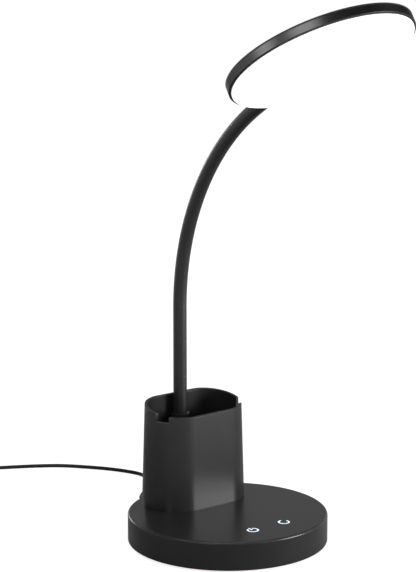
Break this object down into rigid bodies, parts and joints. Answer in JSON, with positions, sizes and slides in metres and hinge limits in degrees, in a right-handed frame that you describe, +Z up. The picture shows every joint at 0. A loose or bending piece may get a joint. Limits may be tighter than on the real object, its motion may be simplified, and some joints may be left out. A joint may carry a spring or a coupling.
{
  "type": "desk lamp",
  "caption": "Desk lamp with a round weighted base, touch icons, a pen cup with a phone slot, a flexible neck and a flat round light head.",
  "frame": {"origin": "the middle of the foot pad, on the surface that the lamp stands on", "axes": "+Z up, -Y the lamp's front, where the head leans and the touch icons are, +X to the lamp's right seen from behind it"},
  "size_m": [0.1632, 0.4133, 0.3804],
  "materials": {
    "satin_black_plastic": "satin, fine spark texture",
    "pad_rubber": "matt",
    "blackened_steel": "blackened, dull",
    "zinc_plated_steel": "zinc plated",
    "circuit_board": "solder mask",
    "icon_light_guide": "clear, lit from below",
    "sleeved_steel": "satin black silicone sleeve over steel",
    "dark_brushed_metal": "dark, satin",
    "opal_diffuser": "opal, satin",
    "white_led_board": "white solder mask on an aluminium core",
    "soft_black_rubber": "satin",
    "cord_jacket": "satin",
    "plug_moulding": "satin",
    "contact_insulator": "plain"
  },
  "bodies": {
    "base": {"base_cover": "satin_black_plastic", "base_plate": "satin_black_plastic", "foot_pad": "pad_rubber", "weight_plate": "blackened_steel", "base_screw_1": "zinc_plated_steel", "base_screw_2": "zinc_plated_steel", "base_screw_3": "zinc_plated_steel", "base_screw_4": "zinc_plated_steel", "control_board": "circuit_board", "board_screw_1": "zinc_plated_steel", "board_screw_2": "zinc_plated_steel", "touch_spring_power": "zinc_plated_steel", "touch_spring_mode": "zinc_plated_steel", "power_icon_light": "icon_light_guide", "mode_icon_light": "icon_light_guide", "pen_cup": "satin_black_plastic", "cup_screw_1": "zinc_plated_steel", "cup_screw_2": "zinc_plated_steel", "neck_stem": "sleeved_steel", "neck_washer": "zinc_plated_steel", "neck_nut": "zinc_plated_steel", "cord_grommet": "soft_black_rubber", "cord": "cord_jacket", "cord_coil": "cord_jacket", "cord_tail": "cord_jacket", "cord_tie": "soft_black_rubber", "usb_plug_body": "plug_moulding", "usb_plug_shell": "zinc_plated_steel", "usb_plug_tongue": "contact_insulator"},
    "link_1": {"neck_link_1": "sleeved_steel"},
    "link_2": {"neck_link_2": "sleeved_steel"},
    "link_3": {"neck_link_3": "sleeved_steel"},
    "link_4": {"neck_link_4": "sleeved_steel"},
    "link_5": {"neck_link_5": "sleeved_steel"},
    "link_6": {"neck_link_6": "sleeved_steel"},
    "link_7": {"neck_link_7": "sleeved_steel"},
    "link_8": {"neck_link_8": "sleeved_steel"},
    "link_9": {"neck_link_9": "sleeved_steel"},
    "head": {"neck_ferrule": "sleeved_steel", "head_back": "satin_black_plastic", "neck_screw_1": "zinc_plated_steel", "neck_screw_2": "zinc_plated_steel", "head_rim": "dark_brushed_metal", "head_diffuser": "opal_diffuser", "led_board": "white_led_board"}
  },
  "joints": [
    {"name": "lower_bend", "type": "hinge", "parent": "base", "child": "link_1", "pos_m": [0, 0.0533, 0.108], "axis": [1, 0, 0], "range_deg": [-15, 15]},
    {"name": "lower_sway", "type": "hinge", "parent": "link_1", "child": "link_2", "pos_m": [0, 0.0533, 0.1332], "axis": [0, 1, 0], "range_deg": [-15, 15]},
    {"name": "neck_bend_2", "type": "hinge", "parent": "link_2", "child": "link_3", "pos_m": [0, 0.0533, 0.15841], "axis": [1, 0, 0], "range_deg": [-15, 15]},
    {"name": "neck_sway_2", "type": "hinge", "parent": "link_3", "child": "link_4", "pos_m": [0, 0.05143, 0.18352], "axis": [0, 0.9893, 0.1458], "range_deg": [-15, 15]},
    {"name": "upper_bend", "type": "hinge", "parent": "link_4", "child": "link_5", "pos_m": [0, 0.04597, 0.20811], "axis": [1, 0, 0], "range_deg": [-15, 15]},
    {"name": "upper_sway", "type": "hinge", "parent": "link_5", "child": "link_6", "pos_m": [0, 0.03704, 0.23166], "axis": [0, 0.9071, 0.4209], "range_deg": [-15, 15]},
    {"name": "neck_bend_4", "type": "hinge", "parent": "link_6", "child": "link_7", "pos_m": [0, 0.02483, 0.25368], "axis": [1, 0, 0], "range_deg": [-15, 15]},
    {"name": "neck_sway_4", "type": "hinge", "parent": "link_7", "child": "link_8", "pos_m": [0, 0.00958, 0.27372], "axis": [0, 0.7502, 0.6613], "range_deg": [-15, 15]},
    {"name": "neck_bend_5", "type": "hinge", "parent": "link_8", "child": "link_9", "pos_m": [0, -0.00839, 0.29136], "axis": [1, 0, 0], "range_deg": [-15, 15]},
    {"name": "neck_sway_5", "type": "hinge", "parent": "link_9", "child": "head", "pos_m": [0, -0.02871, 0.30625], "axis": [0, 0.5314, 0.8471], "range_deg": [-15, 15]}
  ],
  "couplings": [
    {"joint": "neck_bend_2", "follows": "lower_bend", "ratio": 1},
    {"joint": "neck_bend_4", "follows": "upper_bend", "ratio": 1},
    {"joint": "neck_bend_5", "follows": "upper_bend", "ratio": 1},
    {"joint": "neck_sway_2", "follows": "lower_sway", "ratio": 1},
    {"joint": "neck_sway_4", "follows": "upper_sway", "ratio": 1},
    {"joint": "neck_sway_5", "follows": "upper_sway", "ratio": 1}
  ]
}
